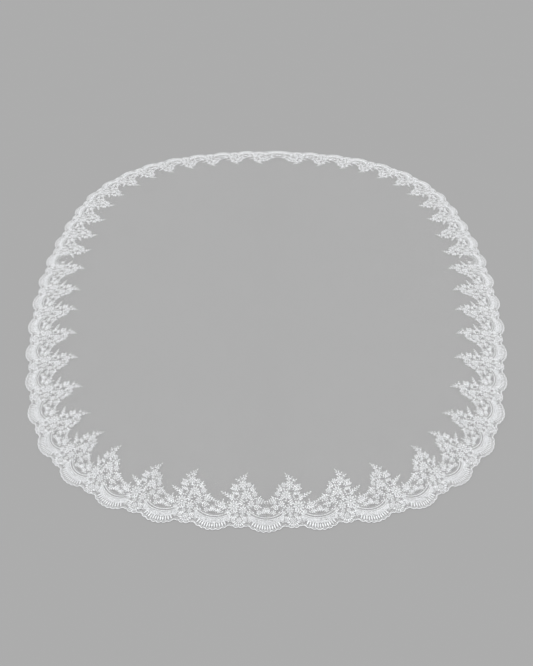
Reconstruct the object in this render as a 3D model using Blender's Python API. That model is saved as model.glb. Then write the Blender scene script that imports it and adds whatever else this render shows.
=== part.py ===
"""A bridal veil laid flat: an oval panel of tulle edged with four lengths of scalloped floral lace.

The front of the veil (its short blusher end) faces -Y and the long back faces +Y. The cloth lies on
z = 0. The lace is one trimming with a floral repeat, and each length of it is laid along the edge line
of the oval. Metres, +Z up.
"""

import bpy
import bmesh
from math import cos, pi, radians, sin, sqrt
from mathutils import Vector
from mathutils.geometry import delaunay_2d_cdt

# Cloth
TULLE_WALL = 0.0010
LACE_WALL = 0.0012
LAY_GAP = 0.0003
SEAM_GAP = 0.0003
MOTIF_RISE = 0.0009
CORD_RISE = 0.0006

# Half of the edge line, from the front centre round the left side. The edge line runs just inward of
# the notches between the scallops. A last arc, worked out below, closes it at the back centre.
EDGE_ARCS = (
    # name, radius in metres, turn in degrees
    ("front", 1.890, 12.1),
    ("corner", 0.758, 54.7),
    ("side", 3.220, 30.5),
    ("shoulder", 0.860, 63.9),
)

# Lengths of lace. Each starts at a seam on the centreline and runs to a join at the side. A length is
# a mirror image of the one that it meets. The back seam takes a little more lace than a repeat.
LACE_LENGTHS = (
    # name, end of the veil, side that it runs along (-1 left, 1 right), repeats
    ("lace_front_left", "front", -1, 12),
    ("lace_front_right", "front", 1, 12),
    ("lace_back_left", "back", -1, 12),
    ("lace_back_right", "back", 1, 11),
)
BACK_SEAM_EASE = 0.060

# How far the tip of each floral spray leans towards the seam, in repeats, from the seam on. The lace
# is eased round the front corner, so its sprays lean unevenly there.
SPRAY_LEANS = {
    "front": (0.04, -0.06, 0.10, -0.27, -0.01, 0.11, 0.05, -0.01, 0.03, 0.01, 0.09, 0.0),
    "back": (0.03, 0.05, 0.03, 0.06, 0.05, 0.08, 0.06, -0.04, -0.02, -0.10, -0.10, 0.0),
}
LEAN_FOOT = 0.15
SPRAY_TIP = 1.07

# One repeat, in repeats: u runs along the edge line towards the seam and d inward from it. The small
# scallop is in the middle, at u = 0, and half of a large scallop lies at each end, at u = -0.5 and 0.5.
SCALLOPS = {
    # name: (half width, drop)
    "small": (0.16, 0.042),
    "large": (0.34, 0.115),
}
NOTCH_DEPTH = -0.033
EDGE_STATIONS = (0.5, 0.41, 0.32, 0.23, 0.16, 0.09, 0.0, -0.09, -0.16, -0.23, -0.32, -0.41)
TULLE_INSET = 0.014

# Inner rim of the repeat, from its seam end to its join end: garland, fir-tree spray, side sprig and
# the flower at the end of the next repeat's garland. The last repeat has no such flower.
SPRAY_RIM = (
    # u, d
    (0.440, 0.505),
    (0.395, 0.515),
    (0.375, 0.560),
    (0.340, 0.545),
    (0.325, 0.645),
    (0.245, 0.660),
    (0.265, 0.725),
    (0.215, 0.815),
    (0.160, 0.765),
    (0.130, 0.870),
    (0.060, 0.840),
    (0.030, 0.900),
    (0.045, SPRAY_TIP),
    (0.000, 0.985),
    (-0.040, 1.030),
    (-0.060, 0.960),
    (-0.105, 0.945),
    (-0.185, 0.910),
    (-0.135, 0.860),
    (-0.155, 0.800),
    (-0.245, 0.810),
    (-0.225, 0.745),
    (-0.255, 0.710),
    (-0.205, 0.655),
    (-0.200, 0.600),
    (-0.320, 0.600),
    (-0.440, 0.655),
    (-0.330, 0.545),
    (-0.245, 0.495),
)
GARLAND_END = (
    # u, d
    (-0.270, 0.400),
    (-0.310, 0.430),
    (-0.355, 0.475),
    (-0.400, 0.425),
    (-0.460, 0.460),
)
JOIN_END = (
    # u, d
    (-0.270, 0.400),
    (-0.350, 0.300),
    (-0.430, 0.240),
)
RIM_AT_SEAM = 0.445
RIM_AT_JOIN = 0.220

# Points raised over the plain underside
RAISED = (
    # name, u, d, rise
    ("top flower", -0.020, 0.820, MOTIF_RISE),
    ("middle flower", 0.090, 0.590, MOTIF_RISE),
    ("heart flower", -0.120, 0.350, MOTIF_RISE),
    ("base flower", 0.050, 0.290, MOTIF_RISE),
    ("fan", 0.000, 0.070, MOTIF_RISE),
    ("garland flower", -0.360, 0.365, MOTIF_RISE),
    ("arc at the seam side", 0.320, 0.150, CORD_RISE),
    ("arc at the join side", -0.320, 0.150, CORD_RISE),
    ("middle of the arc", 0.500, 0.075, CORD_RISE),
)

# The six largest open gaps of the repeat, four-cornered
GAPS = (
    # name, u, d, half length, half width, turn of its length from u in degrees
    ("beside the heart flower", 0.095, 0.415, 0.048, 0.026, 5),
    ("inside the end of the arc", 0.275, 0.265, 0.062, 0.026, -45),
    ("under the garland", 0.440, 0.375, 0.052, 0.026, 0),
    ("over the arc", 0.480, 0.185, 0.075, 0.022, -6),
    ("under the left bough", -0.115, 0.550, 0.045, 0.026, 75),
    ("under the top flower", -0.045, 0.660, 0.050, 0.018, -15),
)

POINT_MERGE = 1e-5


def clear_scene():
    for thing in list(bpy.data.objects):
        bpy.data.objects.remove(thing, do_unlink=True)


def fabric(name, colour, roughness):
    material = bpy.data.materials.new(name)
    material.use_nodes = True
    shader = material.node_tree.nodes["Principled BSDF"]
    shader.inputs["Base Color"].default_value = (*colour, 1.0)
    shader.inputs["Roughness"].default_value = roughness
    shader.inputs["Metallic"].default_value = 0.0
    material.diffuse_color = (*colour, 1.0)
    return material


class EdgeLine:
    """The closed edge line, measured from the front centre round the left side."""

    def __init__(self):
        self.arcs = []
        place = Vector((0.0, 0.0))
        heading = pi
        for _, radius, turn in EDGE_ARCS:
            place, heading = self.add_arc(place, heading, radius, radians(turn))
        place, heading = self.add_arc(place, heading, -place.x / sin(heading), heading)
        self.half = sum(radius * turn for _, _, radius, turn in self.arcs)
        self.centre = place.y / 2

    def add_arc(self, place, heading, radius, turn):
        self.arcs.append((place, heading, radius, turn))
        return self.along_arc(place, heading, radius, turn)

    @staticmethod
    def along_arc(place, heading, radius, turn):
        """The point after a turn to the right, and the heading there."""
        inward = Vector((sin(heading), -cos(heading)))
        hub = place + inward * radius
        after = heading - turn
        return hub - Vector((sin(after), -cos(after))) * radius, after

    def at(self, run):
        """A point of the edge line and the direction inward from it."""
        run = run % (2 * self.half)
        side = 1.0
        if run > self.half:
            run = 2 * self.half - run
            side = -1.0
        for place, heading, radius, turn in self.arcs:
            if run <= radius * turn:
                break
            run -= radius * turn
        point, after = self.along_arc(place, heading, radius, min(run / radius, turn))
        inward = Vector((side * sin(after), -cos(after)))
        return Vector((side * point.x, point.y - self.centre)), inward


EDGE = EdgeLine()
REPEATS = sum(repeats for _, _, _, repeats in LACE_LENGTHS)
LEFT_REPEATS = sum(repeats for _, _, side, repeats in LACE_LENGTHS if side < 0)
REPEAT = (2 * EDGE.half - 2 * BACK_SEAM_EASE) / REPEATS


class LaceLength:
    """Where one length of lace lies. Its points are a count of repeats from the seam and a depth."""

    def __init__(self, end, side, repeats):
        self.repeats = repeats
        self.leans = SPRAY_LEANS[end]
        at_front = end == "front"
        self.ease = 0.0 if at_front else BACK_SEAM_EASE
        self.seam = 0.0 if at_front else LEFT_REPEATS * REPEAT + BACK_SEAM_EASE
        self.step = -side if at_front else side
        self.length = repeats * REPEAT + self.ease

    def place(self, count, depth):
        repeat = min(int(max(count, 0.0)), self.repeats - 1)
        off_middle = 2 * (count - repeat - 0.5)
        rise = max(depth - LEAN_FOOT, 0.0) / (SPRAY_TIP - LEAN_FOOT)
        count -= self.leans[repeat] * rise * max(1 - off_middle * off_middle, 0.0)
        run = count * REPEAT + self.ease * min(count / 0.5, 1.0)
        run = min(max(run, SEAM_GAP / 2), self.length - SEAM_GAP / 2)
        point, inward = EDGE.at(self.seam + self.step * run)
        return point + inward * depth * REPEAT


def scallop_edge(u):
    """How far the scalloped edge lies inward of the edge line. It is below zero all along."""
    small_half, small_drop = SCALLOPS["small"]
    large_half, large_drop = SCALLOPS["large"]
    if abs(u) <= small_half:
        across, half, drop = abs(u), small_half, small_drop
    else:
        across, half, drop = 0.5 - abs(u), large_half, large_drop
    radius = (half * half + drop * drop) / (2 * drop)
    return NOTCH_DEPTH + radius - drop - sqrt(radius * radius - across * across)


def edge_points(repeats, inset):
    """The scalloped edge of a whole length, from its seam to its join."""
    points = [Vector((repeat + 0.5 - u, scallop_edge(u) + inset))
              for repeat in range(repeats) for u in EDGE_STATIONS]
    return points + [Vector((repeats, scallop_edge(0.5) + inset))]


def rim_points(repeats):
    """The inner rim of a whole length, from its seam to its join."""
    points = [Vector((0.0, RIM_AT_SEAM))]
    for repeat in range(repeats):
        last = repeat == repeats - 1
        rows = SPRAY_RIM + (JOIN_END if last else GARLAND_END)
        points += [Vector((repeat + 0.5 - u, d)) for u, d in rows]
        points.append(Vector((repeat + 1, RIM_AT_JOIN if last else RIM_AT_SEAM)))
    return points


def gap_corners(count, depth, half_length, half_width, turn):
    along = Vector((-cos(radians(turn)), sin(radians(turn))))
    across = Vector((along.y, -along.x))
    middle = Vector((count, depth))
    return [
        middle + along * half_length,
        middle + across * half_width,
        middle - along * half_length,
        middle - across * half_width,
    ]


def inside(point, polygon):
    hits = 0
    for start, end in zip(polygon, polygon[1:] + polygon[:1]):
        if (start.y > point.y) != (end.y > point.y):
            cross = start.x + (point.y - start.y) / (end.y - start.y) * (end.x - start.x)
            hits += cross > point.x
    return hits % 2 == 1


def ring(first, count):
    return [(first + i, first + (i + 1) % count) for i in range(count)]


def lace_sheet(repeats):
    """Points, rises and triangles of a whole length, in repeats."""
    loop = edge_points(repeats, 0.0) + rim_points(repeats)[::-1]
    gaps = []
    raised = []
    for repeat in range(repeats):
        for _, u, d, half_length, half_width, turn in GAPS:
            corners = gap_corners(repeat + 0.5 - u, d, half_length, half_width, turn)
            if all(inside(corner, loop) for corner in corners):
                gaps.append(corners)
        raised += [(Vector((repeat + 0.5 - u, d)), rise) for _, u, d, rise in RAISED]
    raised = [(point, rise) for point, rise in raised if inside(point, loop)]
    points = list(loop)
    edges = ring(0, len(loop))
    for corners in gaps:
        edges += ring(len(points), len(corners))
        points += corners
    points += [point for point, _ in raised]
    found, _, faces, origins, _, _ = delaunay_2d_cdt(points, edges, [], 1, POINT_MERGE)
    rises = [0.0] * len(found)
    for number, sources in enumerate(origins):
        for source in sources:
            first_raised = len(points) - len(raised)
            if source >= first_raised:
                rises[number] = raised[source - first_raised][1]
    kept = []
    for face in faces:
        middle = sum((found[i] for i in face), Vector((0.0, 0.0))) / len(face)
        near = [corners for corners in gaps if abs(corners[0].x - middle.x) < 0.5]
        if inside(middle, loop) and not any(inside(middle, corners) for corners in near):
            kept.append(face)
    return found, rises, kept


def closed_wall(name, places, faces, base, tops, material):
    """A sheet of triangles as a closed wall: flat below, each point at its own height above."""
    mesh = bmesh.new()
    low = [mesh.verts.new((x, y, base)) for x, y in places]
    high = [mesh.verts.new((x, y, top)) for (x, y), top in zip(places, tops)]
    steps = set()
    for face in faces:
        mesh.faces.new([high[i] for i in face])
        mesh.faces.new([low[i] for i in reversed(face)])
        steps.update(zip(face, face[1:] + face[:1]))
    for start, end in sorted(steps):
        if (end, start) not in steps:
            mesh.faces.new((low[start], low[end], high[end], high[start]))
    bmesh.ops.recalc_face_normals(mesh, faces=mesh.faces)
    data = bpy.data.meshes.new(name)
    mesh.to_mesh(data)
    mesh.free()
    data.materials.append(material)
    node = bpy.data.objects.new(name, data)
    bpy.context.scene.collection.objects.link(node)
    return node


def make_lace(name, length, material):
    points, rises, faces = lace_sheet(length.repeats)
    places = [length.place(point.x, point.y) for point in points]
    base = TULLE_WALL + LAY_GAP
    tops = [base + LACE_WALL + rise for rise in rises]
    return closed_wall(name, places, faces, base, tops, material)


def make_tulle(lengths, material):
    """The oval panel, trimmed along the scallops just inside the lace's edge."""
    rim = []
    for name, from_seam in (
        ("lace_front_left", True),
        ("lace_back_left", False),
        ("lace_back_right", True),
        ("lace_front_right", False),
    ):
        length = lengths[name]
        stretch = [length.place(*point) for point in edge_points(length.repeats, TULLE_INSET)]
        if not from_seam:
            stretch.reverse()
        rim += [point for point in stretch if not rim or (point - rim[-1]).length > 2 * SEAM_GAP]
    if (rim[0] - rim[-1]).length <= 2 * SEAM_GAP:
        rim.pop()
    found, _, faces, _, _, _ = delaunay_2d_cdt(rim, ring(0, len(rim)), [], 1, POINT_MERGE)
    kept = [face for face in faces
            if inside(sum((found[i] for i in face), Vector((0.0, 0.0))) / len(face), rim)]
    return closed_wall("tulle_panel", found, kept, 0.0, [TULLE_WALL] * len(found), material)


def main():
    clear_scene()
    tulle = fabric("tulle", (0.80, 0.80, 0.80), 0.65)
    lace = fabric("lace", (0.84, 0.85, 0.86), 0.55)
    lengths = {name: LaceLength(end, side, repeats) for name, end, side, repeats in LACE_LENGTHS}
    make_tulle(lengths, tulle)
    for name, length in lengths.items():
        make_lace(name, length, lace)


main()
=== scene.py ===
from math import atan2, cos, pi, radians, sin, sqrt
from random import Random

import bpy
import numpy as np
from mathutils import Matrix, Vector
from mathutils.geometry import delaunay_2d_cdt


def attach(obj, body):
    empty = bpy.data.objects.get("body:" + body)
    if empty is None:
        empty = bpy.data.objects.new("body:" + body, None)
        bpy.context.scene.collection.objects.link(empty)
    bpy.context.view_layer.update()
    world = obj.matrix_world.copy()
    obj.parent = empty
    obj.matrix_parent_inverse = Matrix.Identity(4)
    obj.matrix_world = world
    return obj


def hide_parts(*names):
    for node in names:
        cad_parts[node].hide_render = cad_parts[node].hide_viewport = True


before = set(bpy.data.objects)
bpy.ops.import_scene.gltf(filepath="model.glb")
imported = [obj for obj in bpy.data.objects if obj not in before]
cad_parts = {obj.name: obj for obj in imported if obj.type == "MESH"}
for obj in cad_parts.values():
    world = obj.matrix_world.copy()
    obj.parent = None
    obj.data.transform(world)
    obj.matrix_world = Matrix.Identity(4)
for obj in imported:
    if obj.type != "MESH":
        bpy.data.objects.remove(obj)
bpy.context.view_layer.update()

# Half of the edge line, from the front centre round the left side, as the part's source has it
EDGE_ARCS = (
    # name, radius in metres, turn in degrees
    ("front", 1.890, 12.1),
    ("corner", 0.758, 54.7),
    ("side", 3.220, 30.5),
    ("shoulder", 0.860, 63.9),
)
LACE_LENGTHS = (
    # name, end of the veil, side that it runs along (-1 left, 1 right), repeats
    ("front_left", "front", -1, 12),
    ("front_right", "front", 1, 12),
    ("back_left", "back", -1, 12),
    ("back_right", "back", 1, 11),
)
BACK_SEAM_EASE = 0.060
SEAM_GAP = 0.0003

# How far the tip of each spray leans towards the seam, in repeats, from the seam on
SPRAY_LEANS = {
    "front": (0.04, -0.06, 0.10, -0.27, -0.01, 0.11, 0.05, -0.01, 0.03, 0.01, 0.09, 0.0),
    "back": (0.03, 0.05, 0.03, 0.06, 0.05, 0.08, 0.06, -0.04, -0.02, -0.10, -0.10, 0.0),
}
LEAN_FOOT = 0.15
SPRAY_TIP = 1.07

# Heights of the cloth, in metres
TULLE_LOW = 0.0003
TULLE_HIGH = 0.0004
GROUND_LOW = 0.0015
GROUND_HIGH = 0.0016
STITCH_BASE = 0.0017

# From here on a repeat's measures are in repeats: u along the edge towards the seam, d inward.
# A scallop is its half width and its drop.
SMALL_SCALLOP = (0.16, 0.042)
LARGE_SCALLOP = (0.34, 0.115)
NOTCH_DEPTH = -0.033

# Inner rim of the lace's ground, from a repeat's seam end on. It ends with the next repeat's garland, or
# at the join, where a front length keeps one flower of it.
RIM_STEPS = (
    # u, d
    (0.440, 0.505),
    (0.395, 0.515),
    (0.375, 0.560),
    (0.340, 0.545),
    (0.325, 0.645),
    (0.245, 0.660),
    (0.265, 0.725),
    (0.215, 0.815),
    (0.160, 0.765),
    (0.130, 0.870),
    (0.060, 0.840),
    (0.030, 0.900),
    (0.045, SPRAY_TIP),
    (0.000, 0.985),
    (-0.040, 1.030),
    (-0.060, 0.960),
    (-0.105, 0.945),
    (-0.185, 0.910),
    (-0.135, 0.860),
    (-0.155, 0.800),
    (-0.245, 0.810),
    (-0.225, 0.745),
    (-0.255, 0.710),
    (-0.205, 0.655),
    (-0.200, 0.600),
    (-0.320, 0.600),
    (-0.440, 0.655),
    (-0.330, 0.545),
    (-0.245, 0.495),
)
GARLAND_END = (
    # u, d
    (-0.270, 0.400),
    (-0.310, 0.430),
    (-0.355, 0.475),
    (-0.400, 0.425),
    (-0.460, 0.460),
)
JOIN_END = (
    # u, d
    (-0.270, 0.400),
    (-0.350, 0.300),
    (-0.430, 0.240),
)
JOIN_END_IN_FRONT = (
    # u, d
    (-0.270, 0.400),
    (-0.310, 0.425),
    (-0.360, 0.432),
    (-0.412, 0.405),
    (-0.432, 0.360),
    (-0.418, 0.300),
    (-0.430, 0.240),
)
RIM_AT_SEAM = 0.445
RIM_AT_JOIN = 0.220

# Open gaps of a repeat
GAPS = (
    # name, u, d, half length, half width, turn in degrees
    ("beside the heart flower", 0.095, 0.415, 0.048, 0.026, 5),
    ("inside the end of the arc", 0.275, 0.265, 0.062, 0.026, -45),
    ("under the garland", 0.440, 0.375, 0.052, 0.026, 0),
    ("over the arc", 0.480, 0.185, 0.075, 0.022, -6),
    ("under the left bough", -0.115, 0.550, 0.045, 0.026, 75),
    ("under the top flower", -0.045, 0.660, 0.050, 0.018, -15),
)
GAP_CORNERS = 12
GAP_NEAR = 0.5

# How far in from the scalloped edge the two nets end, and points of the edge a repeat
GROUND_INSET = 0.008
GROUND_STEPS = 40
TULLE_INSET = 0.016
TULLE_STEPS = 24

# Stitched pieces that reach past a seam or join by more than this are left out
SEAM_LAP = 0.02

# Motifs. The join flower has the columns of the others, without a name.
FLOWERS = (
    # name, u, d, radius, petals, turn in degrees
    ("top", -0.015, 0.805, 0.088, 8, 100),
    ("top right", 0.112, 0.800, 0.056, 6, 60),
    ("middle", 0.080, 0.585, 0.100, 9, 75),
    ("outer", 0.252, 0.612, 0.062, 7, 20),
    ("heart", -0.135, 0.350, 0.116, 10, 100),
    ("right", 0.195, 0.405, 0.070, 7, 70),
    ("base middle", 0.048, 0.280, 0.082, 8, 90),
    ("base left", -0.232, 0.225, 0.052, 6, 40),
    ("base right", 0.168, 0.218, 0.050, 6, 130),
    ("garland end", 0.640, 0.360, 0.072, 7, 80),
    ("garland middle", 0.335, 0.445, 0.052, 6, 90),
    ("scallop near", 0.360, 0.230, 0.052, 6, 30),
    ("scallop middle", 0.475, 0.285, 0.050, 6, 50),
    ("scallop far", 0.600, 0.235, 0.052, 6, 70),
    ("fan", 0.0, 0.070, 0.062, 8, 90),
    ("fan left", -0.112, 0.068, 0.047, 6, 30),
    ("fan right", 0.112, 0.068, 0.047, 6, 150),
    ("foot left", -0.058, 0.168, 0.044, 6, 60),
    ("foot right", 0.052, 0.172, 0.044, 6, 20),
    ("notch left", -0.192, 0.058, 0.034, 5, 50),
    ("notch right", 0.192, 0.058, 0.034, 5, 130),
)
JOIN_FLOWER = (-0.362, 0.362, 0.058, 6, 80)
SPRIGS = (
    # name, u, d of its foot, u, d of its tip, bow, leaves to a side, leaf length, leaf width
    ("tip", 0.000, 0.885, 0.038, 1.025, 0.006, 2, 0.066, 0.021),
    ("tip left", -0.010, 0.900, -0.075, 0.955, 0.0, 1, 0.046, 0.022),
    ("top left", -0.070, 0.870, -0.150, 0.900, 0.0, 1, 0.055, 0.024),
    ("left high", -0.095, 0.740, -0.205, 0.790, 0.0, 3, 0.054, 0.024),
    ("left low", -0.110, 0.695, -0.220, 0.705, 0.0, 3, 0.050, 0.024),
    ("neck left", -0.065, 0.595, -0.175, 0.625, 0.0, 3, 0.050, 0.024),
    ("side", -0.215, 0.515, -0.382, 0.612, -0.008, 3, 0.066, 0.023),
    ("right high", 0.160, 0.665, 0.207, 0.780, 0.0, 3, 0.054, 0.024),
    ("right middle", 0.200, 0.660, 0.245, 0.705, 0.0, 1, 0.050, 0.024),
    ("neck", 0.035, 0.680, 0.005, 0.730, 0.0, 1, 0.052, 0.026),
    ("stem", 0.000, 0.360, 0.010, 0.530, 0.010, 4, 0.058, 0.024),
    ("left bough", -0.190, 0.450, -0.180, 0.570, 0.010, 3, 0.056, 0.024),
    ("right bough", 0.190, 0.470, 0.175, 0.560, 0.0, 2, 0.056, 0.024),
    ("garland", 0.290, 0.545, 0.550, 0.392, 0.006, 6, 0.054, 0.022),
    ("garland tip", 0.360, 0.510, 0.372, 0.540, 0.0, 0, 0.050, 0.024),
    ("end tip", 0.640, 0.420, 0.645, 0.450, 0.0, 0, 0.050, 0.024),
    ("under garland", 0.250, 0.370, 0.375, 0.340, 0.0, 3, 0.056, 0.024),
    ("scallop vine", 0.395, 0.240, 0.570, 0.235, 0.012, 4, 0.056, 0.024),
    ("far vine", 0.735, 0.290, 0.540, 0.350, 0.010, 4, 0.054, 0.024),
    ("foot left", -0.040, 0.240, -0.175, 0.210, -0.010, 3, 0.052, 0.024),
    ("fan left", -0.045, 0.125, -0.170, 0.135, 0.014, 3, 0.048, 0.024),
    ("fan right", 0.045, 0.125, 0.160, 0.135, -0.014, 3, 0.048, 0.024),
)
ARCS = (
    # name, half width, depth at its middle, rise to its ends, cord width
    ("inner", 0.320, 0.130, 0.125, 0.0110),
    ("outer", 0.340, 0.090, 0.112, 0.0110),
)
ARC_POINTS = 11

# Clothwork band of the large scallop. Its inner edge is an arc of half width, depth at its middle and
# rise to its ends, and its cords lie outward of that edge.
BAND_ARC = (0.335, 0.078, 0.110)
BAND_WIDTH = 0.090
BAND_POINTS = 15
BAND_CORDS = (0.030, 0.060, 0.090)
BAND_CORD_WIDTH = 0.0060
BAND_CORD_POINTS = 10

# Cords along the scalloped edge
EDGE_CORDS = (
    # name, inset, width, whether it has picots
    ("edge", 0.005, 0.0125, True),
    ("second cord", 0.034, 0.0060, False),
)
PICOTS = 10
PICOT_POINTS = 8
PICOT_DROP = 0.020

# Satin strokes between the band and the edge. Every second one is shorter.
STROKES = 6
STROKE_SPAN = 0.93
STROKE_INSET = 0.040
STROKE_LENGTH = 0.104
STROKE_SHORTER = 0.88
STROKE_WIDTH = 0.026
STROKE_EDGE = 0.007
SLOPE_STEP = 0.002

# Satin strokes round the fan flower, at the small scallop. The outer ones are longer.
FAN_STROKES = 7
FAN_SPREAD = 23
FAN_MIDDLE = 0.065
FAN_RADIUS = 0.055
FAN_LENGTH = 0.050
FAN_OUTER_LENGTH = 0.065
FAN_WIDTH = 0.026
FAN_EDGE = 0.008

# Small leaves that fill the room between the motifs
FILLING_SEED = 5
FILLING_STEP = 0.023
FILLING_ROWS = 42
FILLING_COLUMNS = 44
FILLING_START = 0.12
FILLING_JITTER = 0.3
FILLING_LEAF = (0.048, 0.022)
FILLING_ROOM = 0.009
FILLING_SPOTS = (-0.3, 0.0, 0.3)
FILLING_FOOT = 0.02
FILLING_FOOT_POINTS = 21

# Room round an open gap: 1 is the gap itself, and its size grows with the square root
GAP_ROOM = 1.2

# The filling leaves point away from a place low in the repeat, turned to either side, in radians
FAN_OUT_FROM = 0.2
FAN_OUT_WIDE = 0.8
FILLING_TURN = 0.9
FILLING_TWIST = 0.3

# Outlines of petals, leaves and strokes
FORMS = {
    # name: points, bluntness of the ends (lower is rounder), belly (higher is fuller far out)
    "petal": (8, 0.75, 1.2),
    "leaf": (8, 0.75, 0.9),
    "small leaf": (6, 0.75, 0.9),
    "stroke": (8, 0.6, 1.1),
    "fan stroke": (8, 0.6, 1.2),
}

# A flower, in shares of its radius and of its petals' width and rise. The eye's cord is in repeats.
PETAL_ROOT = 0.24
PETAL_LENGTH = 0.76
PETAL_SHARE = 0.52
PETAL_EDGE = 0.28
EYE_RADIUS = 0.19
EYE_POINTS = 7
EYE_EDGE = 0.006
EYE_RISE = 1.2

# A leaf, in shares of its own measures, and the places that it takes up
LEAF_EDGE = 0.3
LEAF_RISE = 0.7
LEAF_MARKS = (0.3, 0.7)
LEAF_MARK_WIDTH = 0.4

# A sprig: its stem, and where its pairs of leaves sit along it, how far they spread in degrees and how
# much smaller the last ones are. Its end leaf's length and width are shares of the others'.
STEM_WIDTH = 0.0110
STEM_TAPER = 0.6
STEM_MARK = 0.004
FIRST_LEAF = 0.55
PAST_LAST_LEAF = 0.25
LEAF_STAGGER = 0.06
LEAF_LIMIT = 0.97
LEAF_SPREAD = 50
LEAF_SHRINK = 0.35
END_LEAF = (0.75, 0.85)

# Relief of the stitching, in metres
CORD_RISE = 0.0004
PETAL_RISE = 0.0004
FILL_RISE = 0.0002
FLOWER_LIFT = 0.0002

# A patch's cord is at most this share of the way to its middle, where the filling is this much higher
EDGE_REACH = 0.45
FILL_CROWN = 1.4
CORD_PROFILE = (
    # place across, in widths, and height, in rises
    (-0.5, 0.0),
    (-0.3, 0.8),
    (0.0, 1.0),
    (0.3, 0.8),
    (0.5, 0.0),
)

# Rounding that the outlines allow for
ROUNDING = 1e-9
POINT_MERGE = 1e-6

# Nets, in metres
TULLE_CELL = 0.0015
TULLE_THREAD = 0.000012
GROUND_CELL = 0.0014
GROUND_THREAD = 0.00006

# Thread: linear colours, pitch and relief of its ridges in metres, and noise. The darker of each two
# tints is painted shade between the stitches.
TULLE_COLOUR = (0.80, 0.80, 0.80)
GROUND_COLOUR = (0.80, 0.81, 0.825)
NET_SHADE = 0.94
NET_NOISE = 900.0
NET_ROUGHNESS = 0.6
CLOTHWORK_COLOUR_AND_SHADE = ((0.70, 0.71, 0.725), (0.88, 0.89, 0.905))
CLOTHWORK_PITCH = 0.0009
CLOTHWORK_RELIEF = 0.0002
CLOTHWORK_HOLES = 0.38
CLOTHWORK_PATCHY = 3.0
CLOTHWORK_NOISE = 150.0
CLOTHWORK_ROUGHNESS = 0.7
CORD_COLOUR_AND_SHADE = ((0.66, 0.67, 0.685), (0.93, 0.94, 0.955))
CORD_PITCH = 0.0007
CORD_RELIEF = 0.00012
CORD_ROUGHNESS = 0.5
# Small random patches of painted shade between the stitches: noise scale and contrast
STITCH_SHADE_SPECKLE = (230.0, 3.0)
FINE_DETAIL = 3.0

# Light: the sky's share of it, and its strength. The lamp's angles are in degrees.
WORLD_SHARE = 0.72
BRIGHTNESS = 1.52
LAMP_SPREAD = 40
LAMP_TILT = 35
LAMP_LEANS = (0.6, 0.8)

# Floor
FLOOR_GREY = 0.413
FLOOR_MOTTLE = 0.005
FLOOR_NOISE = 3.0
FLOOR_ROUGHNESS = 0.9
FLOOR_REACH = 100.0

# Camera, from fitting the edge line's outline to the photo
PHOTO_HIGH = 666
FOCAL_PIXELS = 517.1
CAMERA_PLACE = (0.001, -2.321, 1.641)
CAMERA_DOWN = 42.57
SENSOR = 36.0

# Material slots of the stitching
FILL = 0
CORD = 1

# Sockets of a mix node for its two vectors and its two colours
MIX_VECTORS = (4, 5)
MIX_COLOURS = (6, 7)


class EdgeLine:
    """The closed edge line, measured from the front centre round the left side.

    Its half is the arcs of the table and a last one that closes it at the back centre.
    """

    def __init__(self):
        self.arcs = []
        place = np.zeros(2)
        heading = pi
        for _, radius, turn in EDGE_ARCS:
            place, heading = self.add_arc(place, heading, radius, radians(turn))
        place, heading = self.add_arc(place, heading, -place[0] / sin(heading), heading)
        self.half = sum(radius * turn for _, _, radius, turn in self.arcs)
        self.centre = place[1] / 2

    def add_arc(self, place, heading, radius, turn):
        self.arcs.append((place, heading, radius, turn))
        return self.along_arc(place, heading, radius, turn)

    @staticmethod
    def along_arc(place, heading, radius, turn):
        """Points after turns to the right, and the headings there."""
        hub = place + radius * np.array((sin(heading), -cos(heading)))
        after = heading - turn
        return hub - radius * np.stack((np.sin(after), -np.cos(after)), axis=-1), after

    def at(self, run):
        """Points of the edge line and the directions inward from them."""
        run = np.mod(run, 2 * self.half)
        side = np.where(run > self.half, -1.0, 1.0)
        run = np.where(run > self.half, 2 * self.half - run, run)
        points = np.zeros((len(run), 2))
        after = np.zeros(len(run))
        start = 0.0
        for place, heading, radius, turn in self.arcs:
            here = (run >= start) & (run <= start + radius * turn + ROUNDING)
            turned = (run[here] - start) / radius
            points[here], after[here] = self.along_arc(place, heading, radius, turned)
            start += radius * turn
        points[:, 0] *= side
        points[:, 1] -= self.centre
        return points, np.stack((side * np.sin(after), -np.cos(after)), axis=-1)


EDGE = EdgeLine()
REPEATS = sum(row[3] for row in LACE_LENGTHS)
LEFT_REPEATS = sum(row[3] for row in LACE_LENGTHS if row[2] < 0)
REPEAT = (2 * EDGE.half - 2 * BACK_SEAM_EASE) / REPEATS


class LaceLength:
    """Where one length of lace lies. Its points are a count of repeats from the seam and a depth."""

    def __init__(self, end, side, repeats):
        self.repeats = repeats
        self.leans = np.array(SPRAY_LEANS[end])
        self.at_front = end == "front"
        self.ease = 0.0 if self.at_front else BACK_SEAM_EASE
        self.seam = 0.0 if self.at_front else LEFT_REPEATS * REPEAT + BACK_SEAM_EASE
        self.step = -side if self.at_front else side
        self.length = repeats * REPEAT + self.ease

    def place(self, count, depth):
        """Where points of the length lie, in metres."""
        repeat = np.clip(np.floor(count), 0, self.repeats - 1).astype(int)
        off_middle = 2 * (count - repeat - 0.5)
        rise = np.maximum(depth - LEAN_FOOT, 0.0) / (SPRAY_TIP - LEAN_FOOT)
        count = count - self.leans[repeat] * rise * np.maximum(1 - off_middle**2, 0.0)
        run = count * REPEAT + self.ease * np.minimum(count / 0.5, 1.0)
        run = np.clip(run, SEAM_GAP / 2, self.length - SEAM_GAP / 2)
        point, inward = EDGE.at(self.seam + self.step * run)
        return point + inward * depth[:, None] * REPEAT


def bowl(across, half, drop):
    """Height of a round arc over its lowest point."""
    radius = (half * half + drop * drop) / (2 * drop)
    return radius - sqrt(radius * radius - across * across)


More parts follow.
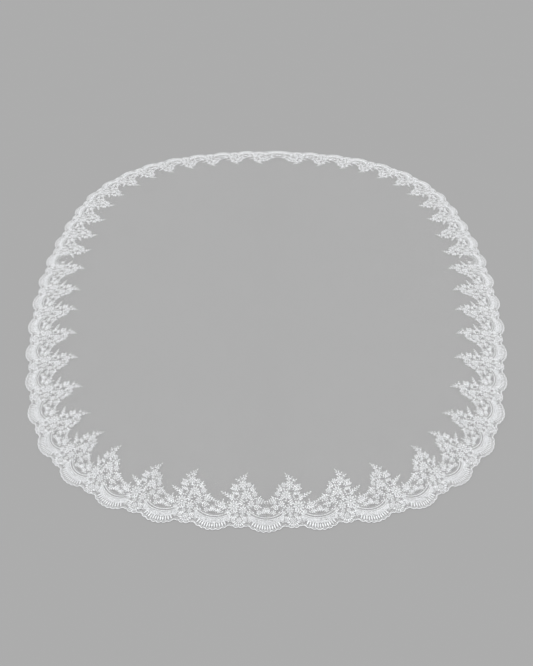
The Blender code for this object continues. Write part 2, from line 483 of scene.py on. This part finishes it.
def scallop_edge(u):
    """How far the scalloped edge lies inward of the edge line. It is below zero all along."""
    if abs(u) <= SMALL_SCALLOP[0]:
        return NOTCH_DEPTH + bowl(u, *SMALL_SCALLOP) - SMALL_SCALLOP[1]
    return NOTCH_DEPTH + bowl(0.5 - abs(u), *LARGE_SCALLOP) - LARGE_SCALLOP[1]


def inside(point, polygon):
    """Whether a point is in a polygon, by the edges to its right."""
    hits = 0
    for start, end in zip(polygon, polygon[1:] + polygon[:1]):
        if (start.y > point.y) != (end.y > point.y):
            cross = start.x + (point.y - start.y) / (end.y - start.y) * (end.x - start.x)
            hits += cross > point.x
    return hits % 2 == 1


class Stitching:
    """Stitched pieces of a repeat. Points are u, d and a height in metres.

    The attribute along is each point's place along its thread, in metres. pieces counts the points of
    each piece. marks are the places taken so far, as u, d and radius. lift raises what comes next.
    """

    def __init__(self):
        self.points = []
        self.along = []
        self.faces = []
        self.slots = []
        self.pieces = []
        self.marks = []
        self.count = 0
        self.lift = 0.0

    def add(self, points, faces, slots, along):
        """One more piece, with its faces numbered from its own first point."""
        points = np.asarray(points, float)
        points[:, 2] += self.lift
        self.points.append(points)
        self.along.append(np.asarray(along, float))
        self.faces += [tuple(i + self.count for i in face) for face in faces]
        self.slots += slots
        self.pieces.append(len(points))
        self.count += len(points)

    def patch(self, outline, edge, crest=PETAL_RISE, fill=FILL_RISE, slot=FILL):
        """A filled shape with a raised cord of width edge round it, from its closed outline."""
        outline = np.asarray(outline)
        number = len(outline)
        ahead = np.roll(outline, -1, axis=0) - np.roll(outline, 1, axis=0)
        inward = np.stack((-ahead[:, 1], ahead[:, 0]), axis=1)
        inward /= np.linalg.norm(inward, axis=1)[:, None]
        middle = outline.mean(axis=0)
        reach = np.linalg.norm(outline - middle, axis=1)
        width = np.minimum(edge, EDGE_REACH * reach)[:, None]
        rings = [
            (outline, 0.0),
            (outline + inward * width / 2, crest),
            (outline + inward * width, fill),
        ]
        points = [(*p, height) for ring, height in rings for p in ring]
        points.append((*middle, fill * FILL_CROWN))
        faces = []
        slots = []
        for ring in range(len(rings) - 1):
            for i in range(number):
                j = (i + 1) % number
                low, high = ring * number, (ring + 1) * number
                faces.append((low + i, low + j, high + j, high + i))
                slots.append(CORD)
        last = (len(rings) - 1) * number
        for i in range(number):
            faces.append((last + i, last + (i + 1) % number, len(points) - 1))
            slots.append(slot)
        axis = outline[number // 2] - outline[0]
        axis /= np.linalg.norm(axis)
        along = [float(np.dot(np.array(p[:2]) - outline[0], axis)) * REPEAT for p in points]
        self.add(points, faces, slots, along)

    def cord(self, path, width, taper=0.0):
        """A raised cord along a path, open below, that loses the share taper of its size."""
        path = np.asarray(path, float)
        ahead = np.gradient(path, axis=0)
        ahead /= np.linalg.norm(ahead, axis=1)[:, None]
        across = np.stack((-ahead[:, 1], ahead[:, 0]), axis=1)
        steps = np.linalg.norm(np.diff(path, axis=0), axis=1)
        run = np.concatenate(([0.0], np.cumsum(steps)))
        size = 1 - taper * run / run[-1]
        points = []
        along = []
        for place, side, scale, length in zip(path, across, size, run):
            for off, height in CORD_PROFILE:
                points.append((*(place + side * off * width * scale), height * CORD_RISE * scale))
                along.append(length * REPEAT)
        faces = []
        wide = len(CORD_PROFILE)
        for i in range(len(path) - 1):
            for j in range(wide - 1):
                first = i * wide + j
                faces.append((first + 1, first, first + wide, first + wide + 1))
        self.add(points, faces, [CORD] * len(faces), along)


def petal(root, turn, length, width, form):
    """Outline of a petal, leaf or stroke, from its root."""
    points, blunt, belly = FORMS[form]
    half = points // 2
    sides = []
    for i in range(half + 1):
        s = (1 - cos(pi * i / half)) / 2
        sides.append((s * length, width / 2 * sin(pi * s**belly) ** blunt if 0 < i < half else 0.0))
    outline = [(x, -y) for x, y in sides] + [(x, y) for x, y in sides[-2:0:-1]]
    c, s = cos(turn), sin(turn)
    return [(root[0] + c * x - s * y, root[1] + s * x + c * y) for x, y in outline]


def circle(u, d, radius, points):
    turns = [2 * pi * i / points for i in range(points)]
    return [(u + radius * cos(turn), d + radius * sin(turn)) for turn in turns]


def flower(work, u, d, radius, petals, turn):
    work.lift = FLOWER_LIFT
    for i in range(petals):
        angle = radians(turn) + 2 * pi * i / petals
        root = (u + PETAL_ROOT * radius * cos(angle), d + PETAL_ROOT * radius * sin(angle))
        width = 2 * radius * sin(pi / petals) * PETAL_SHARE
        work.patch(petal(root, angle, PETAL_LENGTH * radius, width, "petal"), PETAL_EDGE * width)
    eye = circle(u, d, EYE_RADIUS * radius, EYE_POINTS)
    work.patch(eye, EYE_EDGE, crest=PETAL_RISE * EYE_RISE, slot=CORD)
    work.lift = 0.0
    work.marks.append((u, d, radius))


def leaf(work, root, angle, length, width, form="leaf"):
    """A leaf in satin stitch."""
    outline = petal(root, angle, length, width, form)
    work.patch(outline, LEAF_EDGE * width, fill=PETAL_RISE * LEAF_RISE, slot=CORD)
    for reach in LEAF_MARKS:
        place = (root[0] + reach * length * cos(angle), root[1] + reach * length * sin(angle))
        work.marks.append((*place, width * LEAF_MARK_WIDTH))


def bowed(start, end, bow, number):
    """A curve from start to end that bows to its left."""
    start, end = np.array(start), np.array(end)
    side = end - start
    side = np.array((-side[1], side[0])) / np.linalg.norm(side)
    return [start + (end - start) * s + side * bow * 4 * s * (1 - s) for s in np.linspace(0, 1, number)]


def sprig(work, foot, tip, bow, leaves, length, width):
    """A stem with pairs of leaves, and a leaf at its end."""
    path = bowed(foot, tip, bow, 3 + 2 * leaves)
    work.cord(path, STEM_WIDTH, STEM_TAPER)
    last = path[-1] - path[-2]
    leaf(work, path[-1], atan2(last[1], last[0]), length * END_LEAF[0], width * END_LEAF[1])
    work.marks += [(*point, STEM_MARK) for point in path]
    for i in range(leaves):
        at = (i + FIRST_LEAF) / (leaves + PAST_LAST_LEAF)
        for side in (-1, 1):
            reach = min(at + LEAF_STAGGER * side, LEAF_LIMIT) * (len(path) - 1)
            below = int(reach)
            step = path[below + 1] - path[below]
            root = path[below] + step * (reach - below)
            angle = atan2(step[1], step[0]) + side * radians(LEAF_SPREAD)
            size = 1 - LEAF_SHRINK * at
            leaf(work, root, angle, length * size, width * size)


def arc_depth(u, half, middle, rise):
    """Depth of an arc of the large scallop whose middle is at u = 0.5."""
    return middle + bowl(min(0.5 - abs(u), half), half, rise)


def edge_cords(work):
    """The picot edge of the scallops, and the cord inward of it."""
    steps = PICOT_POINTS * PICOTS
    for _, inset, width, has_picots in EDGE_CORDS:
        path = []
        for i in range(0, steps + 1, 1 if has_picots else 2):
            u = 0.5 - i / steps
            notch = PICOT_DROP * (1 - abs(sin(pi * PICOTS * i / steps))) if has_picots else 0.0
            path.append((u, scallop_edge(u) + inset + notch))
        work.cord(path, width)


def arc_cords(work):
    """The cords over the large scallop, and those on its band."""
    for _, half, middle, rise, width in ARCS:
        for side in (-1, 1):
            us = np.linspace(0.5, 0.5 - half, ARC_POINTS) * side
            work.cord([(u, arc_depth(u, half, middle, rise)) for u in us], width)
    for inset in BAND_CORDS:
        for side in (-1, 1):
            us = np.linspace(0.5, 0.5 - BAND_ARC[0], BAND_CORD_POINTS) * side
            work.cord([(u, arc_depth(u, *BAND_ARC) - inset) for u in us], BAND_CORD_WIDTH)


def clothwork_band(work, side):
    """Half of the large scallop's clothwork band."""
    points = []
    for u in np.linspace(0.5, 0.5 - BAND_ARC[0], BAND_POINTS) * side:
        inner = arc_depth(u, *BAND_ARC)
        points += [(u, inner - BAND_WIDTH, FILL_RISE), (u, inner, FILL_RISE)]
    faces = []
    for i in range(BAND_POINTS - 1):
        face = (2 * i, 2 * i + 1, 2 * i + 3, 2 * i + 2)
        faces.append(face if side > 0 else face[::-1])
    work.add(points, faces, [FILL] * len(faces), [point[0] * REPEAT for point in points])


def scallop_strokes(work, side):
    """Satin strokes square to the edge, on half of the large scallop."""
    for i in range(STROKES):
        across = (i + 0.5) / STROKES * STROKE_SPAN
        u = (0.5 - LARGE_SCALLOP[0] * across) * side
        edge = scallop_edge(u)
        slope = (scallop_edge(u + SLOPE_STEP) - scallop_edge(u - SLOPE_STEP)) / (2 * SLOPE_STEP)
        angle = atan2(1.0, -slope)
        root = (u + cos(angle) * STROKE_INSET, edge + sin(angle) * STROKE_INSET)
        length = STROKE_LENGTH * (1.0 if i % 2 else STROKE_SHORTER)
        work.patch(petal(root, angle, length, STROKE_WIDTH, "stroke"), STROKE_EDGE, slot=CORD)


def fan_strokes(work):
    """Satin strokes that spread towards the edge of the small scallop."""
    for i in range(FAN_STROKES):
        off_middle = i - (FAN_STROKES - 1) / 2
        angle = -pi / 2 + off_middle * radians(FAN_SPREAD)
        root = (FAN_RADIUS * cos(angle), FAN_MIDDLE + FAN_RADIUS * sin(angle))
        length = FAN_LENGTH if abs(off_middle) < 2 else FAN_OUTER_LENGTH
        work.patch(petal(root, angle, length, FAN_WIDTH, "fan stroke"), FAN_EDGE, slot=CORD)


def scallop_borders(work):
    edge_cords(work)
    arc_cords(work)
    for side in (-1, 1):
        clothwork_band(work, side)
        scallop_strokes(work, side)
    fan_strokes(work)


def has_room(work, u, d, room):
    """Whether a point of the repeat is clear of every motif so far and of the open gaps."""
    for mark_u, mark_d, radius in work.marks:
        across = (u - mark_u + 0.5) % 1.0 - 0.5
        if across**2 + (d - mark_d) ** 2 < (radius + room) ** 2:
            return False
    for _, gap_u, gap_d, half_length, half_width, turn in GAPS:
        across = (u - gap_u + 0.5) % 1.0 - 0.5
        c, s = cos(radians(turn)), sin(radians(turn))
        along, off = c * across + s * (d - gap_d), c * (d - gap_d) - s * across
        if (along / half_length) ** 2 + (off / half_width) ** 2 < GAP_ROOM:
            return False
    return True


def filling_leaves(work):
    """Small leaves where the larger motifs leave room."""
    rows = ((0.5, RIM_AT_SEAM),) + RIM_STEPS + GARLAND_END + ((-0.5, RIM_AT_SEAM),)
    _, half, middle, rise, _ = ARCS[0]
    foot = [(u, arc_depth(u, half, middle, rise) + FILLING_FOOT)
            for u in np.linspace(-0.5, 0.5, FILLING_FOOT_POINTS)]
    zone = [Vector(row) for row in rows] + [Vector(row) for row in foot]
    chance = Random(FILLING_SEED)
    length, width = FILLING_LEAF
    for row in range(FILLING_ROWS):
        for column in range(FILLING_COLUMNS):
            jitter = chance.uniform(-FILLING_JITTER, FILLING_JITTER)
            u = -0.5 + (column + 0.5 * (row % 2) + jitter) * FILLING_STEP
            jitter = chance.uniform(-FILLING_JITTER, FILLING_JITTER)
            d = FILLING_START + (row + jitter) * FILLING_STEP
            angle = atan2(d - FAN_OUT_FROM, u * FAN_OUT_WIDE)
            angle += chance.choice((-FILLING_TURN, FILLING_TURN))
            angle += chance.uniform(-FILLING_TWIST, FILLING_TWIST)
            root = (u - 0.5 * length * cos(angle), d - 0.5 * length * sin(angle))
            tip = (u + 0.5 * length * cos(angle), d + 0.5 * length * sin(angle))
            if not all(inside(Vector(point), zone) for point in (root, tip, (u, d))):
                continue
            spots = [(u + s * length * cos(angle), d + s * length * sin(angle)) for s in FILLING_SPOTS]
            if all(has_room(work, *spot, FILLING_ROOM) for spot in spots):
                leaf(work, root, angle, length, width, "small leaf")


def one_repeat():
    """The stitching of one repeat of the lace."""
    work = Stitching()
    scallop_borders(work)
    for _, u, d, radius, petals, turn in FLOWERS:
        flower(work, u, d, radius, petals, turn)
    for _, foot_u, foot_d, tip_u, tip_d, bow, leaves, length, width in SPRIGS:
        sprig(work, (foot_u, foot_d), (tip_u, tip_d), bow, leaves, length, width)
    filling_leaves(work)
    return work


def new_mesh(name, points, faces, materials, slots=None, along=None):
    data = bpy.data.meshes.new(name)
    data.from_pydata([tuple(p) for p in points], [], [tuple(f) for f in faces])
    for material in materials:
        data.materials.append(material)
    if slots is not None:
        data.polygons.foreach_set("material_index", np.asarray(slots, dtype=np.int32))
    if along is not None:
        run = data.attributes.new("along", "FLOAT", "POINT")
        run.data.foreach_set("value", np.asarray(along, dtype=np.float32))
    data.shade_smooth()
    data.update()
    piece = bpy.data.objects.new(name, data)
    bpy.context.scene.collection.objects.link(piece)
    return piece


def stitched_length(name, length, work, materials):
    """All the stitching of one length of lace, as one mesh."""
    laid = [(work, repeat) for repeat in range(length.repeats)]
    if length.at_front:
        at_join = Stitching()
        flower(at_join, *JOIN_FLOWER)
        laid.append((at_join, length.repeats - 1))
    all_points = []
    all_along = []
    faces = []
    slots = []
    start = 0
    for stitches, repeat in laid:
        points = np.concatenate(stitches.points)
        along = np.concatenate(stitches.along)
        owner = np.repeat(np.arange(len(stitches.pieces)), stitches.pieces)
        count = repeat + 0.5 - points[:, 0]
        out = (count < -SEAM_LAP) | (count > length.repeats + SEAM_LAP)
        keep = ~np.isin(owner, owner[out])
        number = np.cumsum(keep) - 1 + start
        flat = length.place(count[keep], points[keep, 1])
        all_points.append(np.column_stack((flat, STITCH_BASE + points[keep, 2])))
        all_along.append(along[keep])
        for face, slot in zip(stitches.faces, stitches.slots):
            if keep[face[0]]:
                faces.append([number[i] for i in face])
                slots.append(slot)
        start += int(keep.sum())
    if length.step < 0:
        faces = [face[::-1] for face in faces]
    return new_mesh(name, np.concatenate(all_points), faces, materials, slots, np.concatenate(all_along))


def edge_points(repeats, inset, steps):
    """The scalloped edge of a whole length, from its seam to its join, in repeats."""
    points = [Vector((repeat + i / steps, scallop_edge(0.5 - i / steps) + inset))
              for repeat in range(repeats) for i in range(steps)]
    return points + [Vector((repeats, scallop_edge(0.5) + inset))]


def rim_points(repeats, at_front):
    """The inner rim of a whole length, from its seam to its join, in repeats."""
    points = [Vector((0.0, RIM_AT_SEAM))]
    join_end = JOIN_END_IN_FRONT if at_front else JOIN_END
    for repeat in range(repeats):
        last = repeat == repeats - 1
        rows = RIM_STEPS + (join_end if last else GARLAND_END)
        points += [Vector((repeat + 0.5 - u, d)) for u, d in rows]
        points.append(Vector((repeat + 1, RIM_AT_JOIN if last else RIM_AT_SEAM)))
    return points


def gap_ring(count, depth, half_length, half_width, turn):
    """Corners of an open gap, in repeats."""
    along = Vector((-cos(radians(turn)), sin(radians(turn))))
    across = Vector((along.y, -along.x))
    corners = []
    for i in range(GAP_CORNERS):
        angle = 2 * pi * i / GAP_CORNERS
        corner = Vector((count, depth)) + along * half_length * cos(angle)
        corners.append(corner + across * half_width * sin(angle))
    return corners


def ring(first, count):
    """Edges that close a run of points."""
    return [(first + i, first + (i + 1) % count) for i in range(count)]


def filled(loop, gaps):
    """Triangles between an outline and its gaps."""
    points = list(loop)
    edges = ring(0, len(loop))
    for corners in gaps:
        edges += ring(len(points), len(corners))
        points += corners
    found, _, faces, _, _, _ = delaunay_2d_cdt(points, edges, [], 1, POINT_MERGE)
    kept = []
    for face in faces:
        middle = sum((found[i] for i in face), Vector((0.0, 0.0))) / len(face)
        near = [corners for corners in gaps if abs(corners[0].x - middle.x) < GAP_NEAR]
        if inside(middle, loop) and not any(inside(middle, corners) for corners in near):
            kept.append(face)
    return found, kept


def thin_shell(name, flat, faces, low, high, material):
    """A closed thin sheet between two heights."""
    number = len(flat)
    points = [(x, y, low) for x, y in flat] + [(x, y, high) for x, y in flat]
    steps = {step for face in faces for step in zip(face, face[1:] + face[:1])}
    a, b, c = (flat[i] for i in faces[0][:3])
    upright = (b[0] - a[0]) * (c[1] - a[1]) - (b[1] - a[1]) * (c[0] - a[0]) > 0
    closed = [[i + number for i in face] for face in faces] + [list(face)[::-1] for face in faces]
    closed += [[p, q, q + number, p + number] for p, q in sorted(steps) if (q, p) not in steps]
    if not upright:
        closed = [face[::-1] for face in closed]
    piece = new_mesh(name, points, closed, [material])
    piece.data.shade_flat()
    return piece


def ground_length(name, length, material):
    """The lace's net ground, with the open gaps of each repeat."""
    loop = edge_points(length.repeats, GROUND_INSET, GROUND_STEPS)
    loop += rim_points(length.repeats, length.at_front)[::-1]
    gaps = []
    for repeat in range(length.repeats):
        for _, u, d, half_length, half_width, turn in GAPS:
            corners = gap_ring(repeat + 0.5 - u, d, half_length, half_width, turn)
            if all(inside(corner, loop) for corner in corners):
                gaps.append(corners)
    found, faces = filled(loop, gaps)
    table = np.array([tuple(p) for p in found])
    flat = length.place(table[:, 0], table[:, 1])
    return thin_shell(name, flat.tolist(), faces, GROUND_LOW, GROUND_HIGH, material)


def tulle_panel(lengths, material):
    """The tulle, trimmed just inward of the scalloped edge all round."""
    rim = []
    for name, from_seam in (
        ("front_left", True),
        ("back_left", False),
        ("back_right", True),
        ("front_right", False),
    ):
        length = lengths[name]
        table = np.array([tuple(p) for p in edge_points(length.repeats, TULLE_INSET, TULLE_STEPS)])
        stretch = [Vector(p) for p in length.place(table[:, 0], table[:, 1])]
        if not from_seam:
            stretch.reverse()
        rim += [point for point in stretch if not rim or (point - rim[-1]).length > 2 * SEAM_GAP]
    if (rim[0] - rim[-1]).length <= 2 * SEAM_GAP:
        rim.pop()
    found, faces = filled(rim, [])
    flat = [tuple(p) for p in found]
    return thin_shell("tulle", flat, faces, TULLE_LOW, TULLE_HIGH, material)


class Shading:
    """A material's node tree, with short ways to add its nodes."""

    def __init__(self, name, roughness):
        self.material = bpy.data.materials.new(name)
        self.material.use_nodes = True
        self.nodes = self.material.node_tree.nodes
        self.links = self.material.node_tree.links
        self.shader = self.nodes["Principled BSDF"]
        self.shader.inputs["Roughness"].default_value = roughness
        self.shader.inputs["Specular IOR Level"].default_value = 0.0
        self.place = self.nodes.new("ShaderNodeTexCoord").outputs["Object"]

    def math(self, operation, *values, clamp=False):
        node = self.nodes.new("ShaderNodeMath")
        node.operation = operation
        node.use_clamp = clamp
        self.feed(node, values)
        return node.outputs[0]

    def vector(self, operation, *values, scalar=False):
        node = self.nodes.new("ShaderNodeVectorMath")
        node.operation = operation
        self.feed(node, values)
        return node.outputs["Value" if scalar else "Vector"]

    def feed(self, node, values):
        for socket, value in zip(node.inputs, values):
            if isinstance(value, bpy.types.NodeSocket):
                self.links.new(value, socket)
            else:
                socket.default_value = value

    def net(self, cell, thread):
        """1 on the threads of a net of six-sided holes, 0 in the holes."""
        wide = (1.0, sqrt(3.0), 1.0)
        half = (0.5, sqrt(3.0) / 2, 0.0)
        flat = self.vector("MULTIPLY", self.place, (1 / cell, 1 / cell, 0.0))
        shifted = self.vector("SUBTRACT", flat, half)
        first = self.vector("SUBTRACT", self.vector("WRAP", flat, wide, (0.0, 0.0, 0.0)), half)
        second = self.vector("SUBTRACT", self.vector("WRAP", shifted, wide, (0.0, 0.0, 0.0)), half)
        near = self.math("LESS_THAN", self.vector("LENGTH", first, scalar=True),
                         self.vector("LENGTH", second, scalar=True))
        pick = self.nodes.new("ShaderNodeMix")
        pick.data_type = "VECTOR"
        self.links.new(near, pick.inputs["Factor"])
        for socket, source in zip(MIX_VECTORS, (second, first)):
            self.links.new(source, pick.inputs[socket])
        inner = self.vector("ABSOLUTE", pick.outputs[1])
        slant = self.vector("DOT_PRODUCT", inner, (0.5, sqrt(3.0) / 2, 0.0), scalar=True)
        split = self.nodes.new("ShaderNodeSeparateXYZ")
        self.links.new(inner, split.inputs[0])
        reach = self.math("MAXIMUM", slant, split.outputs["X"])
        return self.math("GREATER_THAN", reach, 0.5 - thread / cell / 2)

    def noise(self, scale, detail=2.0):
        node = self.nodes.new("ShaderNodeTexNoise")
        self.links.new(self.place, node.inputs["Vector"])
        node.inputs["Scale"].default_value = scale
        node.inputs["Detail"].default_value = detail
        return node.outputs["Fac"]

    def speckle(self, scale, contrast):
        """Noise from 0 to 1 in small patches, with more contrast than the noise itself."""
        return self.math("ADD", self.swing(scale, contrast), 0.5, clamp=True)

    def swing(self, scale, contrast):
        """Noise about 0, in small patches."""
        off_middle = self.math("SUBTRACT", self.noise(scale, FINE_DETAIL), 0.5)
        return self.math("MULTIPLY", off_middle, contrast)

    def tint(self, factor, dark, light):
        """The surface's colour, from dark to light by a factor."""
        ramp = self.nodes.new("ShaderNodeMix")
        ramp.data_type = "RGBA"
        self.links.new(factor, ramp.inputs["Factor"])
        for socket, colour in zip(MIX_COLOURS, (dark, light)):
            ramp.inputs[socket].default_value = (*colour, 1.0)
        self.links.new(ramp.outputs[2], self.shader.inputs["Base Color"])

    def bump(self, height, distance):
        node = self.nodes.new("ShaderNodeBump")
        node.inputs["Distance"].default_value = distance
        self.links.new(height, node.inputs["Height"])
        self.links.new(node.outputs["Normal"], self.shader.inputs["Normal"])

    def alpha(self, value):
        self.links.new(value, self.shader.inputs["Alpha"])


def net_material(name, cell, thread, colour):
    """Fine net of knotted thread."""
    look = Shading(name, NET_ROUGHNESS)
    look.alpha(look.net(cell, thread))
    look.tint(look.noise(NET_NOISE), tuple(NET_SHADE * c for c in colour), colour)
    return look.material


def clothwork_material():
    """The close half-stitch inside the petals: threads that cross, with pinholes between them, and
    painted shade between the stitches in small patches.
    """
    look = Shading("lace_clothwork", CLOTHWORK_ROUGHNESS)
    split = look.nodes.new("ShaderNodeSeparateXYZ")
    look.links.new(look.place, split.inputs[0])
    waves = []
    for axis in ("X", "Y"):
        angle = look.math("MULTIPLY", split.outputs[axis], 2 * pi / CLOTHWORK_PITCH)
        waves.append(look.math("SINE", angle))
    top = look.math("MAXIMUM", *waves)
    holes = look.math("ADD", look.swing(CLOTHWORK_NOISE, CLOTHWORK_PATCHY), CLOTHWORK_HOLES)
    look.alpha(look.math("GREATER_THAN", top, holes))
    look.bump(top, CLOTHWORK_RELIEF)
    # Painted shade between the stitches, in small random patches
    look.tint(look.speckle(*STITCH_SHADE_SPECKLE), *CLOTHWORK_COLOUR_AND_SHADE)
    return look.material


def cord_material():
    """Twisted cotton cord and satin stitch, with ridges across the length, and painted shade between the
    stitches in small patches.
    """
    look = Shading("lace_cord", CORD_ROUGHNESS)
    run = look.nodes.new("ShaderNodeAttribute")
    run.attribute_name = "along"
    ridges = look.math("SINE", look.math("MULTIPLY", run.outputs["Fac"], 2 * pi / CORD_PITCH))
    look.bump(ridges, CORD_RELIEF)
    # Painted shade between the stitches, in small random patches
    look.tint(look.speckle(*STITCH_SHADE_SPECKLE), *CORD_COLOUR_AND_SHADE)
    return look.material


def floor():
    grey = FLOOR_GREY / BRIGHTNESS
    look = Shading("floor_grey", FLOOR_ROUGHNESS)
    shades = [(grey * (1 + mottle),) * 3 for mottle in (-FLOOR_MOTTLE, FLOOR_MOTTLE)]
    look.tint(look.noise(FLOOR_NOISE), *shades)
    corners = [(x * FLOOR_REACH, y * FLOOR_REACH, 0.0) for x, y in ((-1, -1), (1, -1), (1, 1), (-1, 1))]
    new_mesh("floor", corners, [(0, 1, 2, 3)], [look.material])


def light():
    world = bpy.data.worlds.new("studio")
    world.use_nodes = True
    sky = world.node_tree.nodes["Background"]
    sky.inputs["Color"].default_value = (1.0, 1.0, 1.0, 1.0)
    sky.inputs["Strength"].default_value = WORLD_SHARE * BRIGHTNESS
    bpy.context.scene.world = world
    lamp = bpy.data.lights.new("soft_key", "SUN")
    lamp.angle = radians(LAMP_SPREAD)
    tilt = radians(LAMP_TILT)
    lamp.energy = (1 - WORLD_SHARE) * BRIGHTNESS * pi / cos(tilt)
    key = bpy.data.objects.new("soft_key", lamp)
    key.rotation_euler = (-tilt * LAMP_LEANS[0], -tilt * LAMP_LEANS[1], 0.0)
    bpy.context.scene.collection.objects.link(key)


def camera():
    lens = bpy.data.cameras.new("photo_view")
    lens.sensor_width = SENSOR
    lens.lens = FOCAL_PIXELS * SENSOR / PHOTO_HIGH
    eye = bpy.data.objects.new("photo_view", lens)
    eye.location = CAMERA_PLACE
    eye.rotation_euler = (radians(90 - CAMERA_DOWN), 0.0, 0.0)
    bpy.context.scene.collection.objects.link(eye)
    bpy.context.scene.camera = eye


def dress():
    bpy.context.scene.view_settings.view_transform = "Standard"
    tulle_net = net_material("tulle_net", TULLE_CELL, TULLE_THREAD, TULLE_COLOUR)
    ground_net = net_material("ground_net", GROUND_CELL, GROUND_THREAD, GROUND_COLOUR)
    threads = [clothwork_material(), cord_material()]
    lengths = {name: LaceLength(end, side, repeats) for name, end, side, repeats in LACE_LENGTHS}
    tulle = tulle_panel(lengths, tulle_net)
    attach(tulle, "root")
    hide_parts("tulle_panel")
    work = one_repeat()
    for name, length in lengths.items():
        ground = ground_length("lace_net_" + name, length, ground_net)
        stitches = stitched_length("lace_stitching_" + name, length, work, threads)
        for piece in (ground, stitches):
            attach(piece, "root")
        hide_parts("lace_" + name)


camera()
light()
floor()
dress()
